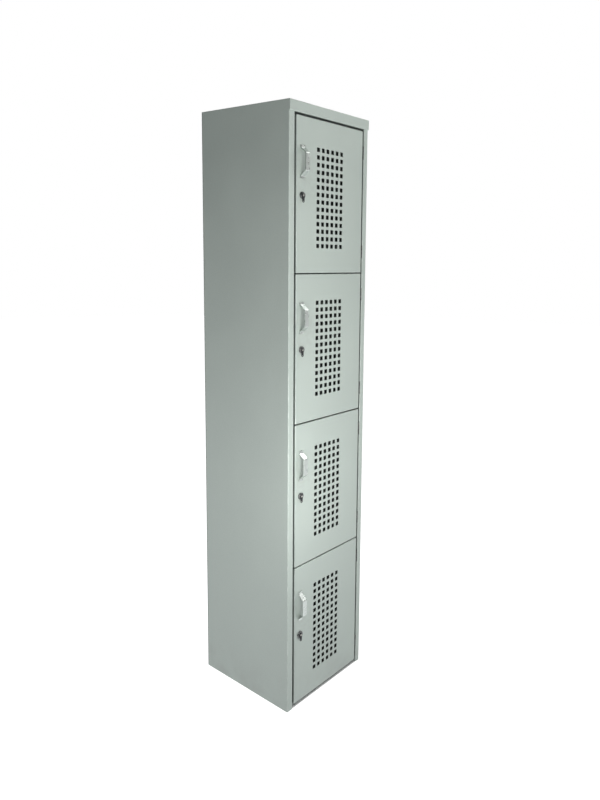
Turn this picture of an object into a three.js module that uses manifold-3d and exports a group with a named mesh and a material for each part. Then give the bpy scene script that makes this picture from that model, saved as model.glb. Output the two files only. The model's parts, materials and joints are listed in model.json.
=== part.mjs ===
// Four-compartment sheet-steel locker cabinet with perforated doors, bow handles and cam locks.
// Millimetres, +Z up, +X to the right seen from the front, the doors face -Y.
// The origin is on the floor, in the middle of the outer box with its handles.
import * as THREE from 'three';
import { mergeVertices } from 'three/addons/utils/BufferGeometryUtils.js';
import Module from 'manifold-3d';

const wasm = await Module();
wasm.setup();

// ---- driving dimensions ----
const WIDTH = 330;
const DEPTH = 380;
const HEIGHT = 1800;
const SHEET = 1;
const CLEARANCE = 0.3;
const BEND_RADIUS = 1.5;
const BEND_STEPS = 3;
const OVERCUT = 1;

const DOOR_COUNT = 4;
const DOOR_GAP = 4;
const DOOR_PROUD = 2;
const DOOR_PAN_DEPTH = 16;
const DOOR_FLANGE = 9;
const LOCK_SIDE_GAP = 5;
const HINGE_SIDE_GAP = 8;
const LEFT_STILE = 21;
const RIGHT_STILE = 18;
const STILE_DEPTH = 17;
const STOP_GAP = 1;
const REAR_FLANGE = 14;
const INNER_FLANGE = 9;

const HEADER_HEIGHT = 30;
const HEADER_PROUD = 3.5;
const HEADER_GAP = 7;
const STOP_BELOW_DOORS_TOP = 12;
const DOOR_FLOOR_GAP = 14;
const BASE_HEIGHT = 26;
const FOOT_FLANGE = 16;

const SIDE_FLANGE_INSET = 30;
const TOP_FLANGE = 24;
const TOP_REAR_FLANGE_HALF = 150;
const DECK_ABOVE_GAP = 12.5;
const LIP_BELOW_GAP = 13.5;
const LIP_FLANGE = 12;
const SHELF_REAR_FLANGE_BELOW_GAP = 7;
const SHELF_SIDE_FLANGE_BELOW_GAP = 4;

const VENT_COLUMNS = 6;
const VENT_ROWS = 14;
const VENT_HOLE_WIDTH = 11.3;
const VENT_HOLE_HEIGHT = 12.2;
const VENT_PITCH_X = 19.5;
const VENT_PITCH_Z = 21;
const VENT_CENTRE_X = -5;
const VENT_CENTRE_Z = -3;

const HANDLE_PROJECTION = 22;
const HANDLE_HEIGHT = 91;
const HANDLE_GRIP = 48;
const HANDLE_FOOT = 7;
const HANDLE_WIDTH = 16;
const HANDLE_STRAP = 2.5;
const HANDLE_BEND_RADIUS = 3;
const HANDLE_ABOVE_CENTRE = 92;

const LOCK_FROM_DOOR_EDGE = 22;
const LOCK_FLANGE_RADIUS = 10;
const LOCK_FLANGE_THICKNESS = 3.5;
const LOCK_FLANGE_BEVEL = 1.2;
const LOCK_BARREL_RADIUS = 7.5;
const BARREL_BEHIND_STILE = 0.5;
const BARREL_FIT = 0.5;
const LOCK_PLUG_RADIUS = 5.5;
const LOCK_SIDES = 20;
const NUT_THICKNESS = 5;
const NUT_RADIUS = 12;
const KEYWAY_WIDTH = 2;
const KEYWAY_HEIGHT = 7.6;
const KEYWAY_DEPTH = 6;
const TAIL = 6.4;
const TAIL_BEHIND_CAM = 1.6;
const CAM_REACH = 36;
const CAM_WIDTH = 12;
const CAM_THICKNESS = 2;
const CAM_HUB_RADIUS = 8.5;
const CAM_BEHIND_STILE = 1.4;
const KEY_REACH = 20;
const KEY_THICKNESS = 2.2;
const KEY_TOP_RADIUS = 4.2;
const KEY_END_RADIUS = 3.6;
const KEY_RING_HOLE = 1.8;

const HINGE_FROM_CENTRE = 152;
const HINGE_LENGTH = 40;
const KNUCKLE_RADIUS = 3.5;
const KNUCKLE_SIDES = 12;
const PIN_RADIUS = 1.5;
const PIN_CLEARANCE = 0.4;
const PIN_HEAD_RADIUS = 2.8;
const PIN_HEAD_TOP = 1.5;
const PIN_FOOT = 0.5;
const LEAF_THICKNESS = 1.5;
const LEAF_INSET = 0.5;

// ---- places worked out from them ----
const FRONT = (DOOR_PROUD + HANDLE_PROJECTION - DEPTH) / 2;
const BACK = FRONT + DEPTH;
const LEFT = -WIDTH / 2;
const RIGHT = WIDTH / 2;
const LEFT_OPENING = LEFT + LEFT_STILE;
const RIGHT_OPENING = RIGHT - RIGHT_STILE;
const DOOR_LEFT = LEFT_OPENING + LOCK_SIDE_GAP;
const DOOR_RIGHT = RIGHT_OPENING - HINGE_SIDE_GAP;
const DOOR_FACE = FRONT - DOOR_PROUD;
const DOOR_BACK = DOOR_FACE + DOOR_PAN_DEPTH;
const DOORS_TOP = HEIGHT - HEADER_HEIGHT - HEADER_GAP;
const DOOR_HEIGHT = (DOORS_TOP - DOOR_FLOOR_GAP - (DOOR_COUNT - 1) * DOOR_GAP) / DOOR_COUNT;
const DOOR_PITCH = DOOR_HEIGHT + DOOR_GAP;
const STOP_FACE = DOOR_BACK + STOP_GAP;
const STILE_BACK = FRONT + STILE_DEPTH;
const BACK_PANEL_FACE = BACK - SHEET;
const REAR_FLANGE_FACE = BACK_PANEL_FACE - CLEARANCE - SHEET;
const FOLDED_PANEL_REAR = REAR_FLANGE_FACE - SHEET;
const SIDE_TOP = HEIGHT - SHEET - CLEARANCE;
const INSIDE_LEFT = LEFT + SHEET + CLEARANCE;
const INSIDE_RIGHT = RIGHT - SHEET - CLEARANCE;
const LOCK_X = DOOR_LEFT + LOCK_FROM_DOOR_EDGE;
const LOCK_FACE = DOOR_FACE - CLEARANCE - LOCK_FLANGE_THICKNESS;
const CAM_FRONT = STILE_BACK + CAM_BEHIND_STILE;
const HINGE_X = (DOOR_RIGHT + RIGHT_OPENING) / 2;
const HINGE_Y = DOOR_FACE + KNUCKLE_RADIUS;

// ---- finishes ----
const FINISHES = {
  powder_coat: { color: 0xb4bdb8, roughness: 0.5, metalness: 0.2 },
  polished_chrome: { color: 0xe6e8ea, roughness: 0.12, metalness: 1 },
  dark_nickel: { color: 0x34383a, roughness: 0.35, metalness: 0.9 },
  zinc: { color: 0xa9aeb0, roughness: 0.4, metalness: 0.9 },
  hinge_steel: { color: 0x4c4f50, roughness: 0.55, metalness: 0.8 },
  key_black: { color: 0x1e2022, roughness: 0.5, metalness: 0 },
};

// ---- solids ----
function solidOf(geometry) {
  const bare = geometry.index ? geometry.toNonIndexed() : geometry;
  bare.deleteAttribute('normal');
  bare.deleteAttribute('uv');
  const merged = mergeVertices(bare, 1e-4);
  const mesh = new wasm.Mesh({
    numProp: 3,
    vertProperties: new Float32Array(merged.attributes.position.array),
    triVerts: new Uint32Array(merged.index.array),
  });
  return new wasm.Manifold(mesh);
}

function geometryOf(solid) {
  const mesh = solid.getMesh();
  const geometry = new THREE.BufferGeometry();
  geometry.setAttribute('position', new THREE.BufferAttribute(new Float32Array(mesh.vertProperties), 3));
  geometry.setIndex(new THREE.BufferAttribute(new Uint32Array(mesh.triVerts), 1));
  geometry.computeVertexNormals();
  return geometry;
}

function box(x0, x1, y0, y1, z0, z1) {
  const geometry = new THREE.BoxGeometry(x1 - x0, y1 - y0, z1 - z0);
  geometry.translate((x0 + x1) / 2, (y0 + y1) / 2, (z0 + z1) / 2);
  return solidOf(geometry);
}

// A shape drawn in X and Y, standing from z0 to z1.
function extrudeAlongZ(shape, z0, z1) {
  const geometry = new THREE.ExtrudeGeometry(shape, { depth: z1 - z0, bevelEnabled: false });
  geometry.translate(0, 0, z0);
  return solidOf(geometry);
}

// A shape drawn in Y and Z, running from x0 to x1.
function extrudeAlongX(shape, x0, x1) {
  const geometry = new THREE.ExtrudeGeometry(shape, { depth: x1 - x0, bevelEnabled: false });
  const turn = new THREE.Matrix4().makeBasis(
    new THREE.Vector3(0, 1, 0),
    new THREE.Vector3(0, 0, 1),
    new THREE.Vector3(1, 0, 0),
  );
  geometry.applyMatrix4(turn);
  geometry.translate(x0, 0, 0);
  return solidOf(geometry);
}

// A shape or shapes drawn in X and Z, running from y0 at the front to y1 at the back.
function extrudeAlongY(shapes, y0, y1) {
  const geometry = new THREE.ExtrudeGeometry(shapes, { depth: y1 - y0, bevelEnabled: false });
  geometry.rotateX(Math.PI / 2);
  geometry.translate(0, y1, 0);
  return solidOf(geometry);
}

function cylinderAlongY(radius, y0, y1, sides, x = 0, z = 0) {
  const geometry = new THREE.CylinderGeometry(radius, radius, y1 - y0, sides);
  geometry.translate(x, (y0 + y1) / 2, z);
  return solidOf(geometry);
}

function cylinderAlongZ(radius, z0, z1, sides) {
  const geometry = new THREE.CylinderGeometry(radius, radius, z1 - z0, sides);
  geometry.rotateX(Math.PI / 2);
  geometry.translate(HINGE_X, HINGE_Y, (z0 + z1) / 2);
  return solidOf(geometry);
}

// The outline of a strip of one thickness whose middle line follows the path, with round bends.
function stripShape(path, thickness, radius) {
  const points = path.map(([u, v]) => new THREE.Vector2(u, v));
  const near = [];
  const far = [];
  const addPair = (point, normal) => {
    near.push(point.clone().addScaledVector(normal, thickness / 2));
    far.push(point.clone().addScaledVector(normal, -thickness / 2));
  };
  const directionAt = (i) => points[i + 1].clone().sub(points[i]).normalize();
  const normalOf = (direction) => new THREE.Vector2(-direction.y, direction.x);
  addPair(points[0], normalOf(directionAt(0)));
  for (let i = 1; i < points.length - 1; i += 1) {
    const incoming = directionAt(i - 1);
    const outgoing = directionAt(i);
    const turn = Math.atan2(incoming.cross(outgoing), incoming.dot(outgoing));
    const setback = radius * Math.tan(Math.abs(turn) / 2);
    const start = points[i].clone().addScaledVector(incoming, -setback);
    const side = Math.sign(turn);
    const centre = start.clone().addScaledVector(normalOf(incoming), side * radius);
    for (let k = 0; k <= BEND_STEPS; k += 1) {
      const angle = (turn * k) / BEND_STEPS;
      const normal = normalOf(incoming).rotateAround(new THREE.Vector2(), angle);
      addPair(centre.clone().addScaledVector(normal, -side * radius), normal);
    }
  }
  addPair(points[points.length - 1], normalOf(directionAt(points.length - 2)));
  return new THREE.Shape([...near, ...far.reverse()]);
}

// ---- cabinet body ----
// One bent sheet: rear flange, side wall, front stile, return lip, inner flange.
// side is -1 for the left panel and 1 for the right one.
function sidePanel(side, stileWidth) {
  const half = SHEET / 2;
  const wall = WIDTH / 2 - half;
  const lip = WIDTH / 2 - stileWidth + half;
  const path = [
    [WIDTH / 2 - REAR_FLANGE, REAR_FLANGE_FACE + half],
    [wall, REAR_FLANGE_FACE + half],
    [wall, FRONT + half],
    [lip, FRONT + half],
    [lip, STILE_BACK - half],
    [lip + INNER_FLANGE, STILE_BACK - half],
  ];
  const placed = path.map(([x, y]) => [side * x, y]);
  return extrudeAlongZ(stripShape(placed, SHEET, BEND_RADIUS), 0, SIDE_TOP);
}

// Keeps a folded panel clear of both front stiles.
function clearOfStiles(panel, z0, z1) {
  const behind = STILE_BACK + CLEARANCE;
  const ahead = FRONT - CLEARANCE;
  const leftNotch = box(LEFT - OVERCUT, LEFT_OPENING + CLEARANCE, ahead, behind, z0, z1);
  const rightNotch = box(RIGHT_OPENING - CLEARANCE, RIGHT + OVERCUT, ahead, behind, z0, z1);
  return panel.subtract(leftNotch).subtract(rightNotch);
}

// Flanges turned down inside both side walls.
function withSideFlanges(panel, z0, z1) {
  const start = FRONT + SIDE_FLANGE_INSET;
  const end = BACK - SIDE_FLANGE_INSET;
  const leftFlange = box(INSIDE_LEFT, INSIDE_LEFT + SHEET, start, end, z0, z1);
  const rightFlange = box(INSIDE_RIGHT - SHEET, INSIDE_RIGHT, start, end, z0, z1);
  return panel.add(leftFlange).add(rightFlange);
}

function topPanel() {
  const half = SHEET / 2;
  const headerFront = FRONT - HEADER_PROUD + half;
  const headerBottom = HEIGHT - HEADER_HEIGHT;
  const stopBottom = DOORS_TOP - STOP_BELOW_DOORS_TOP;
  const path = [
    [BACK, HEIGHT - half],
    [headerFront, HEIGHT - half],
    [headerFront, headerBottom + half],
    [STOP_FACE + half, headerBottom + half],
    [STOP_FACE + half, stopBottom],
  ];
  let panel = extrudeAlongX(stripShape(path, SHEET, BEND_RADIUS), LEFT, RIGHT);
  panel = clearOfStiles(panel, stopBottom - OVERCUT, HEIGHT - SHEET);
  const endFront = FRONT - HEADER_PROUD + BEND_RADIUS;
  const endBack = FRONT - CLEARANCE;
  const endTop = HEIGHT - half;
  for (const x of [LEFT, RIGHT - SHEET]) {
    panel = panel.add(box(x, x + SHEET, endFront - SHEET, endBack, headerBottom + half, endTop));
  }
  const flangeBottom = HEIGHT - TOP_FLANGE;
  const flangeFront = FOLDED_PANEL_REAR - SHEET;
  const reach = TOP_REAR_FLANGE_HALF;
  panel = panel.add(box(-reach, reach, flangeFront, FOLDED_PANEL_REAR, flangeBottom, endTop));
  return withSideFlanges(panel, flangeBottom, endTop);
}

function bottomPanel() {
  const half = SHEET / 2;
  const rear = FOLDED_PANEL_REAR - half;
  const path = [
    [STOP_FACE + FOOT_FLANGE, half],
    [STOP_FACE + half, half],
    [STOP_FACE + half, BASE_HEIGHT - half],
    [rear, BASE_HEIGHT - half],
    [rear, half],
    [rear - FOOT_FLANGE, half],
  ];
  let panel = extrudeAlongX(stripShape(path, SHEET, BEND_RADIUS), INSIDE_LEFT, INSIDE_RIGHT);
  panel = clearOfStiles(panel, -OVERCUT, BASE_HEIGHT + OVERCUT);
  return withSideFlanges(panel, 0, BASE_HEIGHT - half);
}

// A shelf in its own place: z = 0 is the middle of the gap between two doors.
function shelf() {
  const half = SHEET / 2;
  const deck = DECK_ABOVE_GAP;
  const lipBottom = -LIP_BELOW_GAP;
  const rear = FOLDED_PANEL_REAR - half;
  const path = [
    [STOP_FACE + LIP_FLANGE, lipBottom],
    [STOP_FACE + half, lipBottom],
    [STOP_FACE + half, deck],
    [rear, deck],
    [rear, -SHELF_REAR_FLANGE_BELOW_GAP],
  ];
  let panel = extrudeAlongX(stripShape(path, SHEET, BEND_RADIUS), INSIDE_LEFT, INSIDE_RIGHT);
  panel = clearOfStiles(panel, lipBottom - OVERCUT, deck + OVERCUT);
  return withSideFlanges(panel, -SHELF_SIDE_FLANGE_BELOW_GAP, deck);
}

// ---- door ----
// The outside or, with an inset, the inside of the pan, rounded along its four front edges.
function panBlock(inset, radius, backY) {
  const face = DOOR_FACE + inset;
  const roundFront = (low, high) => {
    const shape = new THREE.Shape();
    shape.moveTo(low, backY);
    shape.lineTo(low, face + radius);
    shape.absarc(low + radius, face + radius, radius, Math.PI, 1.5 * Math.PI, false);
    shape.absarc(high - radius, face + radius, radius, 1.5 * Math.PI, 2 * Math.PI, false);
    shape.lineTo(high, backY);
    return new THREE.Shape(shape.getPoints(BEND_STEPS));
  };
  const across = roundFront(DOOR_LEFT + inset, DOOR_RIGHT - inset);
  const halfHeight = DOOR_HEIGHT / 2 - inset;
  const upright = roundFront(-halfHeight, halfHeight);
  const swapped = new THREE.Shape(upright.getPoints().map((p) => new THREE.Vector2(p.y, p.x)));
  const standing = extrudeAlongZ(across, -halfHeight, halfHeight);
  return standing.intersect(extrudeAlongX(swapped, DOOR_LEFT - OVERCUT, DOOR_RIGHT + OVERCUT));
}

function ventHoles() {
  const shapes = [];
  const halfWidth = VENT_HOLE_WIDTH / 2;
  const halfHeight = VENT_HOLE_HEIGHT / 2;
  for (let column = 0; column < VENT_COLUMNS; column += 1) {
    for (let row = 0; row < VENT_ROWS; row += 1) {
      const x = VENT_CENTRE_X + (column - (VENT_COLUMNS - 1) / 2) * VENT_PITCH_X;
      const z = VENT_CENTRE_Z + (row - (VENT_ROWS - 1) / 2) * VENT_PITCH_Z;
      const shape = new THREE.Shape();
      shape.moveTo(x - halfWidth, z - halfHeight);
      shape.lineTo(x + halfWidth, z - halfHeight);
      shape.lineTo(x + halfWidth, z + halfHeight);
      shape.lineTo(x - halfWidth, z + halfHeight);
      shapes.push(shape);
    }
  }
  return extrudeAlongY(shapes, DOOR_FACE - OVERCUT, DOOR_FACE + SHEET + OVERCUT);
}

function doorPan() {
  const outerRadius = BEND_RADIUS + SHEET / 2;
  const outside = panBlock(0, outerRadius, DOOR_BACK);
  const inside = panBlock(SHEET, outerRadius - SHEET, DOOR_BACK - SHEET);
  const openLeft = DOOR_LEFT + DOOR_FLANGE;
  const openRight = DOOR_RIGHT - DOOR_FLANGE;
  const openHalf = DOOR_HEIGHT / 2 - SHEET;
  const mouthFront = DOOR_BACK - SHEET - OVERCUT;
  const mouth = box(openLeft, openRight, mouthFront, DOOR_BACK + OVERCUT, -openHalf, openHalf);
  const holeRadius = LOCK_BARREL_RADIUS + BARREL_FIT;
  const holeBack = DOOR_FACE + SHEET + OVERCUT;
  const barrelHole = cylinderAlongY(holeRadius, DOOR_FACE - OVERCUT, holeBack, LOCK_SIDES, LOCK_X);
  return outside.subtract(inside).subtract(mouth).subtract(ventHoles()).subtract(barrelHole);
}

// ---- handle ----
// A flat strap bent into a bow: two feet on the door, two sloping legs and an upright grip.
function handle() {
  const footY = DOOR_FACE - CLEARANCE - HANDLE_STRAP / 2;
  const gripY = DOOR_FACE - HANDLE_PROJECTION + HANDLE_STRAP / 2;
  const end = HANDLE_HEIGHT / 2;
  const path = [
    [footY, end],
    [footY, end - HANDLE_FOOT],
    [gripY, HANDLE_GRIP / 2],
    [gripY, -HANDLE_GRIP / 2],
    [footY, HANDLE_FOOT - end],
    [footY, -end],
  ];
  const shape = stripShape(path, HANDLE_STRAP, HANDLE_BEND_RADIUS);
  return extrudeAlongX(shape, LOCK_X - HANDLE_WIDTH / 2, LOCK_X + HANDLE_WIDTH / 2);
}

// ---- cam lock, drawn about its own axis, which is Y ----
function lockHousing() {
  const bore = LOCK_PLUG_RADIUS + CLEARANCE;
  const flangeBack = DOOR_FACE - CLEARANCE;
  const barrelBack = STILE_BACK + BARREL_BEHIND_STILE;
  const bevel = LOCK_FLANGE_BEVEL;
  const profile = [
    [bore, LOCK_FACE + bevel],
    [bore + bevel, LOCK_FACE],
    [LOCK_FLANGE_RADIUS - bevel, LOCK_FACE],
    [LOCK_FLANGE_RADIUS, LOCK_FACE + bevel],
    [LOCK_FLANGE_RADIUS, flangeBack],
    [LOCK_BARREL_RADIUS, flangeBack],
    [LOCK_BARREL_RADIUS, barrelBack],
    [bore, barrelBack],
    [bore, LOCK_FACE + bevel],
  ];
  const points = profile.map(([r, y]) => new THREE.Vector2(r, y));
  return solidOf(new THREE.LatheGeometry(points, LOCK_SIDES));
}

function lockNut() {
  const front = DOOR_FACE + SHEET + CLEARANCE;
  const back = front + NUT_THICKNESS;
  const holeRadius = LOCK_BARREL_RADIUS + BARREL_FIT;
  const hexagon = cylinderAlongY(NUT_RADIUS, front, back, 6);
  return hexagon.subtract(cylinderAlongY(holeRadius, front - OVERCUT, back + OVERCUT, LOCK_SIDES));
}

function lockPlug() {
  const face = LOCK_FACE - CLEARANCE;
  const roundEnd = CAM_FRONT - CLEARANCE;
  const tailEnd = CAM_FRONT + CAM_THICKNESS + TAIL_BEHIND_CAM;
  const round = cylinderAlongY(LOCK_PLUG_RADIUS, face, roundEnd, LOCK_SIDES);
  const tail = box(-TAIL / 2, TAIL / 2, roundEnd - OVERCUT, tailEnd, -TAIL / 2, TAIL / 2);
  const keyway = box(
    -KEYWAY_WIDTH / 2,
    KEYWAY_WIDTH / 2,
    face - OVERCUT,
    face + KEYWAY_DEPTH,
    -KEYWAY_HEIGHT / 2,
    KEYWAY_HEIGHT / 2,
  );
  return round.add(tail).subtract(keyway);
}

// A key with its bow folded down: the blade stays in the keyway, the bow hangs in front of the lock.
function key() {
  const bowBack = LOCK_FACE - 2 * CLEARANCE;
  const bowFront = bowBack - KEY_THICKNESS;
  const endZ = KEY_END_RADIUS - KEY_REACH;
  const bow = new THREE.Shape();
  bow.absarc(0, 0, KEY_TOP_RADIUS, 0, Math.PI, false);
  bow.absarc(0, endZ, KEY_END_RADIUS, Math.PI, 2 * Math.PI, false);
  const outline = new THREE.Shape(bow.getPoints(6));
  const ring = new THREE.Path();
  ring.absarc(0, endZ, KEY_RING_HOLE, 0, 2 * Math.PI, true);
  outline.holes.push(new THREE.Path(ring.getPoints(5)));
  const bladeThickness = KEYWAY_WIDTH - 2 * CLEARANCE;
  const bladeHeight = KEYWAY_HEIGHT - 2 * CLEARANCE;
  const blade = box(
    -bladeThickness / 2,
    bladeThickness / 2,
    bowBack - CLEARANCE,
    bowBack + KEYWAY_DEPTH - CLEARANCE,
    -bladeHeight / 2,
    bladeHeight / 2,
  );
  return extrudeAlongY(outline, bowFront, bowBack).add(blade);
}

// The cam hangs down while unlocked and reaches left, behind the stile, when the key is turned.
function lockCam() {
  const tipRadius = CAM_WIDTH / 2;
  const arm = new THREE.Shape();
  arm.absarc(0, 0, CAM_HUB_RADIUS, 0, Math.PI, false);
  arm.absarc(0, tipRadius - CAM_REACH, tipRadius, Math.PI, 2 * Math.PI, false);
  const outline = new THREE.Shape(arm.getPoints(6));
  const back = CAM_FRONT + CAM_THICKNESS;
  const plate = extrudeAlongY(outline, CAM_FRONT, back);
  const square = TAIL / 2 + CLEARANCE;
  return plate.subtract(box(-square, square, CAM_FRONT - OVERCUT, back + OVERCUT, -square, square));
}

// ---- hinge, z = 0 in the middle of its length ----
// end is 1 for the door leaf, whose knuckle is the upper half, and -1 for the frame leaf.
function hingeLeaf(end, plateLeft) {
  const half = HINGE_LENGTH / 2;
  const own = end > 0 ? [CLEARANCE / 2, half] : [-half, -CLEARANCE / 2];
  const other = end > 0 ? [-half - OVERCUT, CLEARANCE / 2] : [-CLEARANCE / 2, half + OVERCUT];
  const plateBack = DOOR_BACK - LEAF_INSET;
  const plate = box(plateLeft, plateLeft + LEAF_THICKNESS, HINGE_Y, plateBack, -half, half);
  const sweptRadius = KNUCKLE_RADIUS + PIN_CLEARANCE;
  const swept = cylinderAlongZ(sweptRadius, other[0], other[1], KNUCKLE_SIDES);
  const knuckle = cylinderAlongZ(KNUCKLE_RADIUS, own[0], own[1], KNUCKLE_SIDES);
  const boreRadius = PIN_RADIUS + PIN_CLEARANCE;
  const bore = cylinderAlongZ(boreRadius, -half - OVERCUT, half + OVERCUT, KNUCKLE_SIDES);
  return plate.subtract(swept).add(knuckle).subtract(bore);
}

function hingePin() {
  const half = HINGE_LENGTH / 2;
  const headTop = half + PIN_HEAD_TOP;
  const shaft = cylinderAlongZ(PIN_RADIUS, -half - PIN_FOOT, headTop - CLEARANCE, KNUCKLE_SIDES);
  return shaft.add(cylinderAlongZ(PIN_HEAD_RADIUS, half + CLEARANCE, headTop, KNUCKLE_SIDES));
}

// ---- assembly ----
const cabinet = new THREE.Group();

function addPiece(parent, name, geometry, finish, place = [0, 0, 0]) {
  const mesh = new THREE.Mesh(geometry, new THREE.MeshStandardMaterial(FINISHES[finish]));
  mesh.name = name;
  mesh.position.set(...place);
  parent.add(mesh);
}

addPiece(cabinet, 'left_side_panel', geometryOf(sidePanel(-1, LEFT_STILE)), 'powder_coat');
addPiece(cabinet, 'right_side_panel', geometryOf(sidePanel(1, RIGHT_STILE)), 'powder_coat');
const backSheet = box(LEFT, RIGHT, BACK_PANEL_FACE, BACK, 0, SIDE_TOP);
addPiece(cabinet, 'back_panel', geometryOf(backSheet), 'powder_coat');
addPiece(cabinet, 'top_panel', geometryOf(topPanel()), 'powder_coat');
addPiece(cabinet, 'bottom_panel', geometryOf(bottomPanel()), 'powder_coat');

const shelfGeometry = geometryOf(shelf());
const panGeometry = geometryOf(doorPan());
const handleGeometry = geometryOf(handle());
const housingGeometry = geometryOf(lockHousing());
const nutGeometry = geometryOf(lockNut());
const plugGeometry = geometryOf(lockPlug());
const keyGeometry = geometryOf(key());
const camGeometry = geometryOf(lockCam());
const doorLeafGeometry = geometryOf(hingeLeaf(1, DOOR_RIGHT + CLEARANCE));
const frameLeafLeft = RIGHT_OPENING - CLEARANCE - LEAF_THICKNESS;
const frameLeafGeometry = geometryOf(hingeLeaf(-1, frameLeafLeft));
const pinGeometry = geometryOf(hingePin());

// Door 1 is the top one. Each group's z = 0 is the middle of its door.
for (let number = 1; number <= DOOR_COUNT; number += 1) {
  const centreZ = DOORS_TOP - DOOR_HEIGHT / 2 - (number - 1) * DOOR_PITCH;
  const bay = new THREE.Group();
  bay.position.z = centreZ;
  cabinet.add(bay);
  addPiece(bay, `door_${number}`, panGeometry, 'powder_coat');
  addPiece(bay, `handle_${number}`, handleGeometry, 'polished_chrome', [0, 0, HANDLE_ABOVE_CENTRE]);
  const lockPlace = [LOCK_X, 0, 0];
  addPiece(bay, `lock_housing_${number}`, housingGeometry, 'dark_nickel', lockPlace);
  addPiece(bay, `lock_nut_${number}`, nutGeometry, 'zinc', lockPlace);
  addPiece(bay, `lock_plug_${number}`, plugGeometry, 'dark_nickel', lockPlace);
  addPiece(bay, `key_${number}`, keyGeometry, 'key_black', lockPlace);
  addPiece(bay, `lock_cam_${number}`, camGeometry, 'zinc', lockPlace);
  for (const [end, sign] of [['upper', 1], ['lower', -1]]) {
    const place = [0, 0, sign * HINGE_FROM_CENTRE];
    const stem = `hinge_${number}_${end}`;
    addPiece(bay, `${stem}_door_leaf`, doorLeafGeometry, 'hinge_steel', place);
    addPiece(bay, `${stem}_frame_leaf`, frameLeafGeometry, 'hinge_steel', place);
    addPiece(bay, `${stem}_pin`, pinGeometry, 'hinge_steel', place);
  }
  if (number < DOOR_COUNT) {
    const gapMiddle = [0, 0, -DOOR_PITCH / 2];
    addPiece(bay, `shelf_${number}`, shelfGeometry, 'powder_coat', gapMiddle);
  }
}

export default cabinet;
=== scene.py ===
import json
import math

import bmesh
import bpy
from mathutils import Matrix, Vector


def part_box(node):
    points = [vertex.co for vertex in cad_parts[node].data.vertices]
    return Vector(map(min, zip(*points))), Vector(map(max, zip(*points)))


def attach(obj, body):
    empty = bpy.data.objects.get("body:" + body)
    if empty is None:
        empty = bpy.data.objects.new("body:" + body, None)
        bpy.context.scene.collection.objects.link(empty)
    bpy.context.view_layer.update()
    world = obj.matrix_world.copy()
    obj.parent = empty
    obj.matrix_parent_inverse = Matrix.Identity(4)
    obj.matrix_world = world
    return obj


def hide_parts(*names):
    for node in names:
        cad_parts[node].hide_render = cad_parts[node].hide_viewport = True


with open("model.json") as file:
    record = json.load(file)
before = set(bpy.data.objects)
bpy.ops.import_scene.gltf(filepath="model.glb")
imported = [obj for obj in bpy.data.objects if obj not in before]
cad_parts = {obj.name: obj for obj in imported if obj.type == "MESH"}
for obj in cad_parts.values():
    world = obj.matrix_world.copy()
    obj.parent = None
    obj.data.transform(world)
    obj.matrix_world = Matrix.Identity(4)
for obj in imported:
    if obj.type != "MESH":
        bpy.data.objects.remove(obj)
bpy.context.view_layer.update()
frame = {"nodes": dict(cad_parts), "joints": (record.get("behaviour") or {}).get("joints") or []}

MM = 0.001

# ---- driving dimensions, millimetres ----
SHEET = 1.0
BEND = 1.5
CLEARANCE = 0.3
STILE_DEPTH = 17.0
REAR_FLANGE, INNER_FLANGE = 14.0, 9.0
END_BAND = 0.5
BACK_RIVETS, BACK_RIVET_END, BACK_RIVET_PITCH = 13, 60.0, 140.0
SHELF_RIVETS, SHELF_RIVET_DROP = (-90.0, 0.0, 90.0), 10.0
PAN_RADIUS, PAN_CORNER, PAN_STEPS = 2.0, 2.6, 5
DOOR_FLANGE, FLANGE_SLANT = 9.0, 6.0
VENT_COLUMNS, VENT_ROWS = 6, 14
VENT_HOLE = (11.3, 12.2)
VENT_PITCH = (19.5, 21.0)
VENT_CENTRE = (-5.0, -3.0)
VENT_CORNER = 1.1
PUNCH_ROLL = 0.30
PUNCH_DEPTH = 0.7 * PUNCH_ROLL
LOCK_HOLE = 8.0
HANDLE_FOOT, HANDLE_GRIP, HANDLE_STRAP = 7.0, 48.0, 2.5
HANDLE_BEND, HANDLE_EDGE = 3.4, 0.9
KEYWAY, KEYWAY_DEPTH = (2.0, 7.6), 6.0
DOOR_NUMBERS = (1, 2, 3, 4)


def box_mm(node):
    low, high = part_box(node)
    return [c / MM for c in low], [c / MM for c in high]


def joint_mm(name):
    joint = next(j for j in frame["joints"] if j["name"] == name)
    return [c / MM for c in joint["pos_m"]]


LEFT_LOW, LEFT_HIGH = box_mm("left_side_panel")
RIGHT_LOW, RIGHT_HIGH = box_mm("right_side_panel")
BACK_LOW, BACK_HIGH = box_mm("back_panel")
FRONT = LEFT_LOW[1]
TOP_HIGH = box_mm("top_panel")[1][2]
STILE_BACK = FRONT + STILE_DEPTH


# ---- outlines ----
SHARPEST_MITER = 0.5
CUT_END_WEAR = 0.4


def arc(centre, radius, start, end, steps):
    """Points (u, v) on an arc, angles in degrees."""
    points = []
    for k in range(steps + 1):
        angle = math.radians(start + (end - start) * k / steps)
        points.append((centre[0] + radius * math.cos(angle), centre[1] + radius * math.sin(angle)))
    return points


def circle(radius, count, centre=(0, 0)):
    return arc(centre, radius, 0, 360, count)[:-1]


def rounded_rectangle(low, high, radius, steps):
    (u0, v0), (u1, v1) = low, high
    corners = [((u1, v1), 0, -1, -1), ((u0, v1), 90, 1, -1), ((u0, v0), 180, 1, 1), ((u1, v0), 270, -1, 1)]
    points = []
    for (u, v), start, to_u, to_v in corners:
        points += arc((u + to_u * radius, v + to_v * radius), radius, start, start + 90, steps)
    return points


def centred_rectangle(width, height, radius):
    return rounded_rectangle((-width / 2, -height / 2), (width / 2, height / 2), radius, 2)


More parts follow.
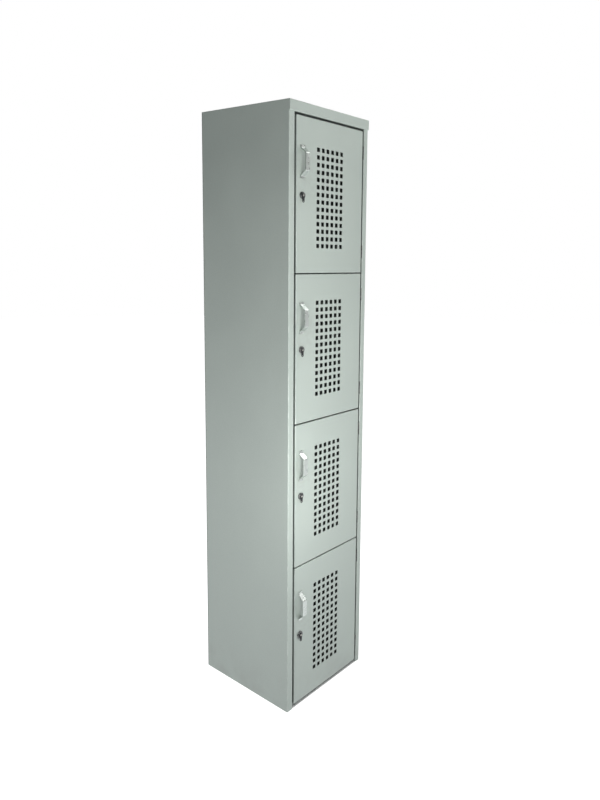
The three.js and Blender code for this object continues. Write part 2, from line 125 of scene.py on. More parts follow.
def tab(reach, top_radius, end_radius):
    """A tapering tab: round at the origin, hanging down to v = -reach."""
    return arc((0, 0), top_radius, 0, 180, 12) + arc((0, end_radius - reach), end_radius, 180, 360, 12)


def offset(outline, distance):
    """The outline moved outwards by a distance, for outlines that run counter-clockwise."""
    count = len(outline)
    moved = []
    for k, point in enumerate(outline):
        before = Vector(point) - Vector(outline[k - 1])
        after = Vector(outline[(k + 1) % count]) - Vector(point)
        normal = Vector((before.y, -before.x)).normalized() + Vector((after.y, -after.x)).normalized()
        normal.normalize()
        miter = max(SHARPEST_MITER, normal.dot(Vector((after.y, -after.x)).normalized()))
        moved.append(tuple(Vector(point) + normal * (distance / miter)))
    return moved


def strip_outline(path, thickness, radius, steps=6):
    """The closed outline of a bent strip and the wear of each of its points, up to 1 inside a bend."""
    points = [Vector(p) for p in path]
    near, far, wear = [], [], []

    def add(point, normal, worn):
        near.append(tuple(point + normal * thickness / 2))
        far.append(tuple(point - normal * thickness / 2))
        wear.append(worn)

    def direction(k):
        return (points[k + 1] - points[k]).normalized()

    def normal_of(vector):
        return Vector((-vector.y, vector.x))

    add(points[0], normal_of(direction(0)), CUT_END_WEAR)
    for k in range(1, len(points) - 1):
        incoming, outgoing = direction(k - 1), direction(k)
        turn = math.atan2(incoming.x * outgoing.y - incoming.y * outgoing.x, incoming.dot(outgoing))
        side = math.copysign(1, turn)
        start = points[k] - incoming * radius * math.tan(abs(turn) / 2)
        centre = start + normal_of(incoming) * side * radius
        for step in range(steps + 1):
            normal = normal_of(incoming)
            normal.rotate(Matrix.Rotation(turn * step / steps, 2))
            worn = math.sin(math.pi * step / steps)
            add(centre - normal * side * radius, normal, worn)
    add(points[-1], normal_of(direction(len(points) - 2)), CUT_END_WEAR)
    return near + far[::-1], wear + wear[::-1]


# ---- solids ----
WELD_DISTANCE = 0.002
SHARP_ANGLE = 32


class Solid:
    """The shapes of one piece, with a wear value at each point."""

    def __init__(self):
        self.points, self.faces, self.wear = [], [], []

    def loft(self, rings, wear=None, caps=True):
        """A skin through rings with the same number of points. wear(ring, point) gives its wear."""
        count, first = len(rings[0]), len(self.points)
        for number, ring in enumerate(rings):
            self.points.extend(ring)
            self.wear.extend(wear(number, k) if wear else 0.0 for k in range(count))
        for number in range(len(rings) - 1):
            base = first + number * count
            for k in range(count):
                after = (k + 1) % count
                self.faces.append((base + k, base + after, base + count + after, base + count + k))
        if caps:
            last = first + (len(rings) - 1) * count
            self.faces.append(tuple(range(first + count - 1, first - 1, -1)))
            self.faces.append(tuple(range(last, last + count)))

    def band(self, pairs, wear):
        """Faces between two edges, given as pairs of points, with the wear of each edge."""
        first = len(self.points)
        for pair in pairs:
            self.points.extend(pair)
            self.wear.extend(wear)
        for k in range(len(pairs) - 1):
            a = first + 2 * k
            self.faces.append((a, a + 1, a + 3, a + 2))

    def fill(self, loops):
        """A flat face inside the first loop, with the other loops left open."""
        flat = bmesh.new()
        edges = []
        for loop in loops:
            corners = [flat.verts.new(p) for p in loop]
            edges += [flat.edges.new((corners[k - 1], corners[k])) for k in range(len(corners))]
        bmesh.ops.triangle_fill(flat, use_beauty=True, use_dissolve=False, edges=edges)
        flat.verts.index_update()
        first = len(self.points)
        self.points.extend(tuple(v.co) for v in flat.verts)
        self.wear.extend(0.0 for _ in flat.verts)
        self.faces.extend(tuple(first + v.index for v in face.verts) for face in flat.faces)
        flat.free()

    def plate(self, outline, holes, front, back, bevel, place):
        """A plate with softened edges. place(u, v, w) puts a point in the frame, w from front to back."""
        step = bevel if back > front else -bevel
        levels = [(-bevel, front), (0, front + step), (0, back - step), (-bevel, back)]
        worn = [0.6, 1.0, 0.6, 0.2]
        for loop, sign in [(outline, 1)] + [(hole, -1) for hole in holes]:
            rings = [[place(u, v, w) for u, v in offset(loop, sign * grow)] for grow, w in levels]
            self.loft(rings, lambda ring, _: worn[ring], caps=False)
        for grow, w in (levels[0], levels[3]):
            loops = [offset(outline, grow)] + [offset(hole, -grow) for hole in holes]
            self.fill([[place(u, v, w) for u, v in loop] for loop in loops])

    def lathe(self, stations, place, count, caps=True):
        """A turned shape through stations of (radius, along, wear). Returns its rings."""
        rings = [[place(u, v, along) for u, v in circle(radius, count)] for radius, along, _ in stations]
        self.loft(rings, lambda ring, _: stations[ring][2], caps)
        return rings

    def build(self, name, material, body, replaces=(), weld=False):
        """Makes the piece, in metres, and lets it ride its body."""
        shape = bmesh.new()
        worn = shape.verts.layers.float.new("wear")
        corners = []
        for point, value in zip(self.points, self.wear):
            corner = shape.verts.new(Vector(point) * MM)
            corner[worn] = value
            corners.append(corner)
        for face in self.faces:
            shape.faces.new([corners[k] for k in face])
        if weld:
            bmesh.ops.remove_doubles(shape, verts=shape.verts, dist=WELD_DISTANCE * MM)
        bmesh.ops.recalc_face_normals(shape, faces=shape.faces)
        mesh = bpy.data.meshes.new(name)
        shape.to_mesh(mesh)
        shape.free()
        mesh.materials.append(material)
        shade(mesh)
        piece = bpy.data.objects.new(name, mesh)
        bpy.context.scene.collection.objects.link(piece)
        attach(piece, body)
        if replaces:
            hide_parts(*replaces)
        level_faces(piece)
        return piece


def shade(mesh):
    mesh.shade_smooth()
    mesh.set_sharp_from_angle(angle=math.radians(SHARP_ANGLE))


def level_faces(piece):
    """Makes the large faces shade flat, so that only the bends between them look round."""
    levelled = piece.modifiers.new("level_faces", "WEIGHTED_NORMAL")
    levelled.keep_sharp = True


def along_y(x, z):
    """Places a shape drawn in X and Z about (x, z), with w as Y."""
    return lambda u, v, w: (x + u, w, z + v)


def along_z(x, y):
    return lambda u, v, w: (x + u, y + v, w)


def along_x(y, z):
    return lambda u, v, w: (w, y + u, z + v)


# ---- node helpers ----
def node(tree, kind, inputs=None, **settings):
    made = tree.nodes.new(kind)
    for key, value in settings.items():
        setattr(made, key, value)
    for key, value in (inputs or {}).items():
        if isinstance(value, bpy.types.NodeSocket):
            tree.links.new(value, made.inputs[key])
        else:
            made.inputs[key].default_value = value
    return made


def noise(tree, place, scale, detail, roughness=0.5):
    inputs = {"Vector": place, "Scale": scale, "Detail": detail, "Roughness": roughness}
    return node(tree, "ShaderNodeTexNoise", inputs).outputs["Fac"]


def stretched(tree, place, scale):
    inputs = {"Vector": place, "Scale": scale}
    return node(tree, "ShaderNodeMapping", inputs, vector_type="TEXTURE").outputs["Vector"]


def ranged(tree, value, low, high, to_low=0.0, to_high=1.0):
    inputs = {"Value": value, "From Min": low, "From Max": high, "To Min": to_low, "To Max": to_high}
    return node(tree, "ShaderNodeMapRange", inputs, interpolation_type="SMOOTHSTEP").outputs["Result"]


def maths(tree, operation, a, b):
    return node(tree, "ShaderNodeMath", {0: a, 1: b}, operation=operation).outputs[0]


def blend_colour(tree, factor, a, b):
    inputs = {0: factor, 6: a, 7: b}
    return node(tree, "ShaderNodeMix", inputs, data_type="RGBA").outputs[2]


def bump(tree, height, strength, distance, below=None):
    inputs = {"Height": height, "Strength": strength, "Distance": distance}
    if below is not None:
        inputs["Normal"] = below
    return node(tree, "ShaderNodeBump", inputs).outputs["Normal"]


def new_material(name, **constants):
    material = bpy.data.materials.new(name)
    material.use_nodes = True
    tree = material.node_tree
    shader = tree.nodes["Principled BSDF"]
    for key, value in constants.items():
        shader.inputs[key.replace("_", " ")].default_value = value
    place = node(tree, "ShaderNodeTexCoord").outputs["Object"]
    worn = node(tree, "ShaderNodeAttribute", attribute_name="wear").outputs["Fac"]
    return material, tree, shader, place, worn


def connect(tree, shader, **sockets):
    for key, value in sockets.items():
        tree.links.new(value, shader.inputs[key.replace("_", " ")])


# ---- finishes ----
PAINT_LIGHT = (0.497, 0.560, 0.516, 1)
PAINT_DARK = (0.459, 0.520, 0.480, 1)
# pale paint for flecks, and for chips on the folds that are partly wear and partly a painted highlight
PAINT_WEAR_AND_HIGHLIGHT = (0.680, 0.735, 0.700, 1)
PAINT_DUST = (0.390, 0.420, 0.390, 1)
# painted shade inside the cabinet and down the gaps: a share of the dark paint colour
INSIDE_SHADE_SHARE = 0.33
PAINT_INSIDE_SHADE = tuple(INSIDE_SHADE_SHARE * c for c in PAINT_DARK[:3]) + (1,)
# scales are in cells per metre, stretches and heights in metres, and bands are limits of a noise
MIDDLE_BAND = (0.3, 0.7)
CLOUD_SCALE, SPECK_SCALE, FLAKE_SCALE = 3.2, 650, 1900
CHIP_SCALE, DUST_SCALE, GRIME_SCALE = 38, 14, 60
PEEL_SCALE, DENT_SCALE = 420, 4.5
METAL_CLOUD_SCALE, METAL_CHIP_SCALE = 55, 260
CRYSTAL_SCALE, CAST_SCALE, GRAIN_SCALE = 420, 90, 1500
STREAK_STRETCH = (0.12, 0.12, 1.4)
SCUFF_STRETCH = (0.010, 0.002, 0.002)
DUST_HEIGHT = 0.16
# millimetres in from an outer face where the painted shade starts, and where it is darkest
SHADE_BAND = (0.2, 0.8)
SHADE_BAND_FRONT = (1.2, 3.2)
GRIME_REACH, GRIME_CORE, GRIME_ABOVE_LOCK = 0.11, 0.015, 0.05


def product(tree, *values):
    """The product of any number of node values."""
    result = values[0]
    for value in values[1:]:
        result = maths(tree, "MULTIPLY", result, value)
    return result


def painted_inside_shade(tree, place, body):
    """Painted shade: everything inside the outer faces, down the gaps too, takes a darker colour."""
    axes = node(tree, "ShaderNodeSeparateXYZ", {"Vector": place}).outputs
    across = maths(tree, "ABSOLUTE", axes["X"], 0.0)
    outer_faces = ((across, RIGHT_HIGH[0]), (axes["Y"], BACK_HIGH[1]), (axes["Z"], TOP_HIGH))
    start, end = SHADE_BAND
    parts = [ranged(tree, axis, (face - start) * MM, (face - end) * MM) for axis, face in outer_faces]
    start, end = SHADE_BAND_FRONT
    parts.append(ranged(tree, axes["Y"], (FRONT + start) * MM, (FRONT + end) * MM))
    return blend_colour(tree, product(tree, *parts), body, PAINT_INSIDE_SHADE)


def powder_coat(name, grime=None):
    """Satin silver-grey paint. grime is the place, in metres, that hands have dulled."""
    material, tree, shader, place, worn = new_material(name, Metallic=0.25)
    cloud = noise(tree, place, CLOUD_SCALE, 3)
    streak = noise(tree, stretched(tree, place, STREAK_STRETCH), 1.0, 2)
    speck = noise(tree, place, SPECK_SCALE, 1)
    chips = noise(tree, place, CHIP_SCALE, 4, 0.6)
    height = node(tree, "ShaderNodeSeparateXYZ", {"Vector": place}).outputs["Z"]
    low = ranged(tree, height, DUST_HEIGHT, 0.0)
    dust = ranged(tree, noise(tree, place, DUST_SCALE, 4), 0.35, 0.75)
    layers = [
        (product(tree, ranged(tree, streak, *MIDDLE_BAND), 0.28), PAINT_DARK),
        (product(tree, ranged(tree, speck, 0.35, 0.75), 0.22), PAINT_WEAR_AND_HIGHLIGHT),
        # chips on bends, hole rims and cut edges: paler paint that is partly wear and partly a painted
        # highlight along the folds
        (product(tree, worn, ranged(tree, chips, 0.42, 0.70), 0.8), PAINT_WEAR_AND_HIGHLIGHT),
        (product(tree, low, dust, 0.45), PAINT_DUST),
    ]
    body = blend_colour(tree, ranged(tree, cloud, *MIDDLE_BAND), PAINT_DARK, PAINT_LIGHT)
    for share, colour in layers:
        body = blend_colour(tree, share, body, colour)
    # painted shade inside the cabinet and down the gaps
    body = painted_inside_shade(tree, place, body)
    rough = ranged(tree, cloud, 0.25, 0.75, 0.40, 0.49)
    if grime is not None:
        away = node(tree, "ShaderNodeVectorMath", {0: place, 1: grime}, operation="DISTANCE").outputs["Value"]
        smudge = ranged(tree, noise(tree, place, GRIME_SCALE, 4), 0.40, 0.72)
        touched = product(tree, ranged(tree, away, GRIME_REACH, GRIME_CORE), smudge)
        body = blend_colour(tree, product(tree, touched, 0.35), body, PAINT_DUST)
        rough = maths(tree, "SUBTRACT", rough, product(tree, touched, 0.10))
    peel = bump(tree, noise(tree, place, PEEL_SCALE, 2), 0.10, 0.0004)
    dents = bump(tree, noise(tree, place, DENT_SCALE, 1), 0.30, 0.004, peel)
    normal = bump(tree, noise(tree, place, FLAKE_SCALE, 0), 0.05, 0.0002, dents)
    connect(tree, shader, Base_Color=body, Roughness=rough, Normal=normal)
    return material


def plated_metal(name, colours, rough, brush, wear_colour=None):
    """Plated or bare metal: two tones, a range of roughness and the stretch of its polishing marks."""
    material, tree, shader, place, worn = new_material(name, Metallic=1.0)
    cloud = noise(tree, place, METAL_CLOUD_SCALE, 3)
    marks = noise(tree, stretched(tree, place, brush), 1.0, 2)
    body = blend_colour(tree, ranged(tree, cloud, *MIDDLE_BAND), *colours)
    if wear_colour is not None:
        chips = ranged(tree, noise(tree, place, METAL_CHIP_SCALE, 3), 0.38, 0.62)
        body = blend_colour(tree, product(tree, worn, chips, 0.8), body, wear_colour)
    smear = ranged(tree, maths(tree, "ADD", cloud, product(tree, marks, 0.6)), 0.45, 1.15, *rough)
    connect(tree, shader, Base_Color=body, Roughness=smear, Normal=bump(tree, marks, 0.05, 0.0002))
    return material


def zinc_plate(name):
    """Passivated zinc: small crystals and a faint straw and blue cast."""
    material, tree, shader, place, worn = new_material(name, Metallic=1.0)
    crystal = node(tree, "ShaderNodeTexVoronoi", {"Vector": place, "Scale": CRYSTAL_SCALE}).outputs["Color"]
    value = node(tree, "ShaderNodeSeparateColor", {"Color": crystal}).outputs["Red"]
    cast = ranged(tree, noise(tree, place, CAST_SCALE, 2), 0.35, 0.65)
    body = blend_colour(tree, cast, (0.50, 0.53, 0.56, 1), (0.58, 0.56, 0.48, 1))
    body = blend_colour(tree, product(tree, value, 0.25), body, (0.66, 0.67, 0.67, 1))
    body = blend_colour(tree, product(tree, worn, 0.3), body, (0.72, 0.73, 0.73, 1))
    rough = ranged(tree, value, 0.0, 1.0, 0.30, 0.46)
    connect(tree, shader, Base_Color=body, Roughness=rough, Normal=bump(tree, value, 0.10, 0.0001))
    return material


def moulded_plastic(name):
    """Grained black plastic, scuffed and rubbed paler on its edges."""
    material, tree, shader, place, worn = new_material(name, Metallic=0.0)
    grain = noise(tree, place, GRAIN_SCALE, 2)
    scuff = ranged(tree, noise(tree, stretched(tree, place, SCUFF_STRETCH), 1.0, 3), 0.60, 0.72)
    tone = ranged(tree, grain, *MIDDLE_BAND)
    body = blend_colour(tree, tone, (0.012, 0.013, 0.015, 1), (0.022, 0.023, 0.026, 1))
    rub = maths(tree, "MAXIMUM", product(tree, worn, 0.25), product(tree, scuff, 0.4))
    body = blend_colour(tree, rub, body, (0.085, 0.088, 0.092, 1))
    rough = ranged(tree, grain, 0.2, 0.8, 0.42, 0.58)
    connect(tree, shader, Base_Color=body, Roughness=rough, Normal=bump(tree, grain, 0.18, 0.0001))
    return material


body_paint = powder_coat("powder_coat_body")
chrome = plated_metal(
    "handle_chrome_bright",
    [(0.57, 0.61, 0.58, 1), (0.66, 0.70, 0.67, 1)],
    (0.24, 0.36),
    (0.02, 0.0012, 0.02),
)
dark_nickel = plated_metal(
    "lock_dark_nickel",
    [(0.085, 0.090, 0.092, 1), (0.150, 0.155, 0.158, 1)],
    (0.26, 0.42),
    (0.0015, 0.01, 0.0015),
    wear_colour=(0.42, 0.42, 0.41, 1),
)
key_steel = plated_metal(
    "key_nickel_silver",
    [(0.50, 0.49, 0.46, 1), (0.62, 0.61, 0.57, 1)],
    (0.22, 0.38),
    (0.004, 0.004, 0.0006),
)
hinge_steel = plated_metal(
    "hinge_dark_steel",
    [(0.022, 0.023, 0.024, 1), (0.050, 0.049, 0.047, 1)],
    (0.34, 0.52),
    (0.006, 0.006, 0.0008),
    wear_colour=(0.14, 0.135, 0.13, 1),
)
zinc = zinc_plate("zinc_plate_passivated")
key_plastic = moulded_plastic("key_plastic_black")


# ---- cabinet ----
# shares of a rivet's radius and height, and its wear, from the sheet up to the crown
RIVET_DOME = (
    (1.0, 0.0, 0.2),
    (1.0, 0.25, 0.6),
    (0.85, 0.72, 1.0),
    (0.50, 0.95, 0.6),
    (0.22, 1.0, 0.2),
)
RIVET_RADIUS, RIVET_HEIGHT = 2.6, 1.0
JOIN_DISTANCE = 0.00001
FOLD_ANGLE = 35


def side_panel(name, side, low, high):
    """One folded sheet: rear flange, side wall, front stile, return lip and inner flange."""
    half = SHEET / 2
    outer = high[0] if side > 0 else low[0]
    inner = low[0] if side > 0 else high[0]
    rear = high[1] - half
    path = [
        (outer - side * REAR_FLANGE, rear),
        (outer - side * half, rear),
        (outer - side * half, FRONT + half),
        (inner + side * half, FRONT + half),
        (inner + side * half, STILE_BACK - half),
        (inner + side * (half + INNER_FLANGE), STILE_BACK - half),
    ]
    outline, wear = strip_outline(path, SHEET, BEND)
    panel = Solid()
    levels = (low[2], low[2] + END_BAND, high[2] - END_BAND, high[2])
    panel.loft([[(u, v, z) for u, v in outline] for z in levels], lambda _, k: wear[k])
    panel.build(name, body_paint, "cabinet", [f"{name.split('_')[0]}_side_panel"])


def rivet(solid, place, foot, radius, height):
    """A domed head that stands on foot, along the axis of place. A negative height points it back."""
    stations = [(wide * radius, foot + tall * height, worn) for wide, tall, worn in RIVET_DOME]
    solid.lathe(stations, place, 20)


def back_rivets():
    """Rivet heads along both flanges of the back and along each shelf."""
    places = []
    for x in (BACK_LOW[0] + REAR_FLANGE / 2, BACK_HIGH[0] - REAR_FLANGE / 2):
        for k in range(BACK_RIVETS):
            places.append((x, BACK_LOW[2] + BACK_RIVET_END + k * BACK_RIVET_PITCH))
    for number in (1, 2, 3):
        z = box_mm(f"shelf_{number}")[1][2] - SHELF_RIVET_DROP
        places += [(x, z) for x in SHELF_RIVETS]
    rivets = Solid()
    for x, z in places:
        rivet(rivets, along_y(x, z), BACK_HIGH[1], RIVET_RADIUS, RIVET_HEIGHT)
    rivets.build("back_rivets", body_paint, "cabinet")


def fold_shading():
    """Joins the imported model's split corners and shades its bends smooth, without touching the mesh."""
    group = bpy.data.node_groups.new("fold_shading", "GeometryNodeTree")
    group.interface.new_socket("Geometry", in_out="INPUT", socket_type="NodeSocketGeometry")
    group.interface.new_socket("Geometry", in_out="OUTPUT", socket_type="NodeSocketGeometry")
    entry = node(group, "NodeGroupInput")
    inputs = {"Geometry": entry.outputs[0], "Distance": JOIN_DISTANCE}
    joined = node(group, "GeometryNodeMergeByDistance", inputs)
    angle = node(group, "GeometryNodeInputMeshEdgeAngle").outputs["Unsigned Angle"]
    inputs = {0: angle, 1: math.radians(FOLD_ANGLE)}
    gentle = node(group, "FunctionNodeCompare", inputs, operation="LESS_THAN")
    faces = node(group, "GeometryNodeSetShadeSmooth", {"Geometry": joined.outputs[0]}, domain="FACE")
    inputs = {"Geometry": faces.outputs[0], "Shade Smooth": gentle.outputs[0]}
    edges = node(group, "GeometryNodeSetShadeSmooth", inputs, domain="EDGE")
    leave = node(group, "NodeGroupOutput")
    group.links.new(edges.outputs[0], leave.inputs[0])
    return group


def paint_packed_panels():
    """The folded top, base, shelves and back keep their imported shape."""
    shading = fold_shading()
    for name in ("top_panel", "bottom_panel", "back_panel", "shelf_1", "shelf_2", "shelf_3"):
        panel = frame["nodes"][name]
        panel.data.materials.clear()
        panel.data.materials.append(body_paint)
        panel.modifiers.new("fold_shading", "NODES").node_group = shading
        level_faces(panel)


# ---- door ----
def pan_ring(low, high, inset, y):
    """The outline of the pan at one depth, pulled in by an inset."""
    corner = PAN_CORNER - inset
    flat = rounded_rectangle((low[0] + inset, low[2] + inset), (high[0] - inset, high[2] - inset), corner, 4)
    return [(x, y, z) for x, z in flat]


def vent_centres(low, high):
    """The middle of each vent hole, up each column in turn."""
    middle_x = (low[0] + high[0]) / 2 + VENT_CENTRE[0]
    middle_z = (low[2] + high[2]) / 2 + VENT_CENTRE[1]
    for column in range(VENT_COLUMNS):
        for row in range(VENT_ROWS):
            x = middle_x + (column - (VENT_COLUMNS - 1) / 2) * VENT_PITCH[0]
            z = middle_z + (row - (VENT_ROWS - 1) / 2) * VENT_PITCH[1]
            yield x, z


def punched(skin, outline, x, z, face):
    """A punched hole: the sheet rolls over softly into it. Returns its loop in the face."""
    rings = []
    for degrees in (0, 45, 90):
        angle = math.radians(degrees)
        out = PUNCH_ROLL * (1 - math.sin(angle))
        deep = PUNCH_DEPTH * (1 - math.cos(angle))
        rings.append([(x + u, face + deep, z + v) for u, v in offset(outline, out)])
    skin.loft(rings, lambda ring, _: 0.25 * ring, caps=False)
    return rings[0]


def pan_walls(skin, low, high):
    """The pan's four walls and the round bend into its face. Returns the face's outline."""
    face, back = low[1], high[1]
    rings = [pan_ring(low, high, 0, back - PAN_RADIUS)]
    wear = [0.0]
    for step in range(PAN_STEPS + 1):
        angle = math.radians(90 * step / PAN_STEPS)
        inset = PAN_RADIUS * (1 - math.cos(angle))
        rings.append(pan_ring(low, high, inset, face + PAN_RADIUS * (1 - math.sin(angle))))
        wear.append(math.sin(math.pi * step / PAN_STEPS))
    skin.loft(rings, lambda ring, _: wear[ring], caps=False)
    return rings[-1]


def side_flange(skin, low, high, side):
    """The flange turned inwards behind the left or right wall of the pan, slanted at its ends."""
    edge = high[0] if side > 0 else low[0]
    bottom, top = low[2] + PAN_CORNER, high[2] - PAN_CORNER
    back = high[1]
    pairs = []
    for degrees in (0, 22.5, 45, 67.5, 90):
        angle = math.radians(degrees)
        x = edge - side * PAN_RADIUS * (1 - math.cos(angle))
        y = back - PAN_RADIUS + PAN_RADIUS * math.sin(angle)
        pairs.append(((x, y, bottom), (x, y, top)))
    x = edge - side * DOOR_FLANGE
    pairs.append(((x, back, bottom + FLANGE_SLANT), (x, back, top - FLANGE_SLANT)))
    skin.band(pairs, (0.3, 0.3))


def end_walls(skin, low, high):
    """The walls above and below run to the pan's full depth, without a flange."""
    back = high[1]
    ring = pan_ring(low, high, 0, back - PAN_RADIUS)
    half = len(ring) // 2
    for start in (0, half):
        ends = [ring[(start + k) % len(ring)] for k in range(half)]
        skin.band([((x, y, z), (x, back, z)) for x, y, z in ends], (0.1, 0.5))


def door_skin(number, paint):
    """The door's folded pan, with its vent holes and the hole for the lock."""
    low, high = box_mm(f"door_{number}")
    lock_x, _, lock_z = joint_mm(f"lock_{number}_turn")
    face = low[1]
    skin = Solid()
    loops = [pan_walls(skin, low, high)]
    hole = centred_rectangle(*VENT_HOLE, VENT_CORNER)
    loops += [punched(skin, hole, x, z, face) for x, z in vent_centres(low, high)]
    loops.append(punched(skin, circle(LOCK_HOLE, 24), lock_x, lock_z, face))
    skin.fill(loops)
    for side in (-1, 1):
        side_flange(skin, low, high, side)
    end_walls(skin, low, high)
    replaced = [f"door_{number}"]
    body = f"door_{number}_assembly"
    thicken(skin.build(f"door_skin_{number}", paint, body, replaced, weld=True))


def thicken(piece):
    """Gives an open skin the sheet's thickness, inwards, and keeps the result as its mesh."""
    outward = max(piece.data.polygons, key=lambda p: p.area)
    if outward.normal.y > 0:
        piece.data.flip_normals()
    solidify = piece.modifiers.new("sheet", "SOLIDIFY")
    solidify.thickness = SHEET * MM
    solidify.offset = -1
    solidify.use_even_offset = True
    bpy.context.view_layer.update()
    evaluated = piece.evaluated_get(bpy.context.evaluated_depsgraph_get())
    thick = bpy.data.meshes.new_from_object(evaluated)
    piece.modifiers.clear()
    piece.data = thick
    shade(thick)
    level_faces(piece)


# ---- handle ----
WASHER_RADIUS, WASHER_HOLE, WASHER_THICKNESS = 5.2, 2.2, 0.9
# radius, height above the sheet, and wear
SCREW_HEAD = ((3.9, 0.9, 0.0), (3.9, 1.7, 0.3), (3.5, 2.4, 0.6), (2.7, 2.8, 0.9))
CROSS_REACH, CROSS_HALF = 1.9, 0.5
# share of the cross, and height above the sheet
CROSS_LEVELS = ((1, 2.8), (0.7, 1.6))
METAL_EDGE = 0.2


def handle(number):
    """A flat strap bent into a bow, with softened edges, and its two screws."""
    low, high = box_mm(f"handle_{number}")
    x, z = (low[0] + high[0]) / 2, (low[2] + high[2]) / 2
    width, end = high[0] - low[0], (high[2] - low[2]) / 2
    half = HANDLE_STRAP / 2
    foot_y, grip_y = high[1] - half, low[1] + half
    path = [
        (foot_y, end),
        (foot_y, end - HANDLE_FOOT),
        (grip_y, HANDLE_GRIP / 2),
        (grip_y, -HANDLE_GRIP / 2),
        (foot_y, HANDLE_FOOT - end),
        (foot_y, -end),
    ]
    edge, eased = HANDLE_EDGE, 0.3 * HANDLE_EDGE
    # distance across the strap, and how much thinner each side of it is there
    stations = [(0, edge), (eased, eased), (edge, 0)]
    stations += [(width - across, thinner) for across, thinner in reversed(stations)]
    rings = []
    for across, thinner in stations:
        outline, _ = strip_outline(path, HANDLE_STRAP - 2 * thinner, HANDLE_BEND, 8)
        rings.append([(x - width / 2 + across, y, z + h) for y, h in outline])
    bow = Solid()
    bow.loft(rings, lambda ring, _: 1.0 if ring in (1, 4) else 0.3)
    body = f"door_{number}_assembly"
    bow.build(f"handle_bow_{number}", chrome, body, [f"handle_{number}"])
    screws = Solid()
    inside = box_mm(f"door_{number}")[0][1] + SHEET
    for sign in (-1, 1):
        pan_head_screw(screws, x, z + sign * (end - HANDLE_FOOT / 2), inside)
    screws.build(f"handle_screws_{number}", zinc, body)


def cross_outline():
    """A cross, counter-clockwise, turned a quarter at a time."""
    points = [(-CROSS_REACH, -CROSS_HALF), (-CROSS_HALF, -CROSS_HALF), (-CROSS_HALF, -CROSS_REACH)]
    for _ in range(3):
        points += [(-v, u) for u, v in points[-3:]]
    return points


def pan_head_screw(solid, x, z, sheet):
    """A washer and a pan head with a cross recess, on a sheet whose inner face looks towards +Y."""
    place = along_y(x, z)
    washer_hole = circle(WASHER_HOLE, 20)
    top = sheet + WASHER_THICKNESS
    solid.plate(circle(WASHER_RADIUS, 32), [washer_hole], sheet, top, METAL_EDGE, place)
    stations = [(radius, sheet + height, worn) for radius, height, worn in SCREW_HEAD]
    rings = solid.lathe(stations, place, 32, caps=False)
    solid.fill([rings[0]])
    recess = []
    for share, height in CROSS_LEVELS:
        recess.append([place(u * share, v * share, sheet + height) for u, v in cross_outline()])
    solid.fill([rings[-1], recess[0]])
    solid.loft(recess, caps=False)
    solid.fill([recess[1]])


# ---- lock ----
LOCK_BORE, COLLAR_DEPTH = 5.8, 1.5
# the dished front of the collar: radius, distance behind its front, and wear
COLLAR_FACE = (
    (LOCK_BORE, 0.9, 0.0),
    (6.3, 0.35, 0.6),
    (7.1, 0.25, 0.0),
    (7.5, 0.0, 0.9),
    (8.7, 0.0, 0.2),
    (9.4, 0.35, 1.0),
    (9.85, 0.9, 1.0),
)
BARREL, BARREL_TIP, THREAD_ROOT = 7.5, 7.2, 6.95
THREADS, THREAD_START, THREAD_END = 12, 3.0, 1.2
NUT_RADIUS, NUT_HOLE, NUT_START, NUT_EDGE = 12.0, 8.0, 0.8, 0.6
TOOTH_TIP, TOOTH_ROOT, TOOTH_COUNT = 11.2, 10.2, 12
TOOTH_WASHER_HOLE, TOOTH_WASHER, TOOTH_WASHER_EDGE = 8.1, 0.7, 0.12
# radius, distance behind the front of the plug, and wear
PLUG_FACE = ((4.9, 0.0, 0.3), (5.35, 0.25, 1.0), (5.5, 0.8, 0.5))
PLUG_RADIUS, PLUG_TAIL, TAIL_CORNER, KEYWAY_CORNER = 5.5, 6.4, 0.6, 0.5
PLUG_PAST_BARREL, TAIL_OVERLAP = 0.4, 0.1
KEY_HUB, KEY_END, KEY_THICKNESS, KEY_EYE = 4.2, 3.6, 2.2, 1.7
BOW_START, BOW_EDGE = 0.3, 0.35
RIBS, RIB_SIZE, RIB_FIRST, RIB_PITCH = 3, (4.6, 0.8), 6.0, 2.0
RIB_FOOT, RIB_CORNER, RIB_EDGE = 0.45, 0.35, 0.15
# radius, distance behind the front of the key, and wear
KEY_PIVOT = ((2.9, 0.4, 0.0), (2.9, 0.15, 0.0), (2.5, 0.0, 0.0), (0.6, 0.0, 0.0))
BLADE, BLADE_CORNER, BLADE_OVERLAP, BLADE_EDGE = (1.4, 7.0), 0.3, 0.2, 0.15
CAM_HUB, CAM_END, CAM_EDGE = 8.5, 6.0, 0.25
CAM_SQUARE, CAM_SQUARE_CORNER = 7.0, 0.4
BOLT_WASHER, BOLT_WASHER_HOLE, BOLT_GAP = 6.2, 2.0, 0.05
BOLT_HEAD, BOLT_FOOT, BOLT_TOP, BOLT_EDGE = 4.6, 1.0, 4.2, 0.45


def lock(number):
    """The lock of one door: the housing and nut stay with the door, the rest turns with the key."""
    x, _, z = joint_mm(f"lock_{number}_turn")
    place = along_y(x, z)
    turning = f"lock_{number}_assembly"
    lock_housing(number, place)
    lock_nut(number, place)
    lock_plug(number, place, turning)
    key(number, place, turning)
    cam(number, place, turning)


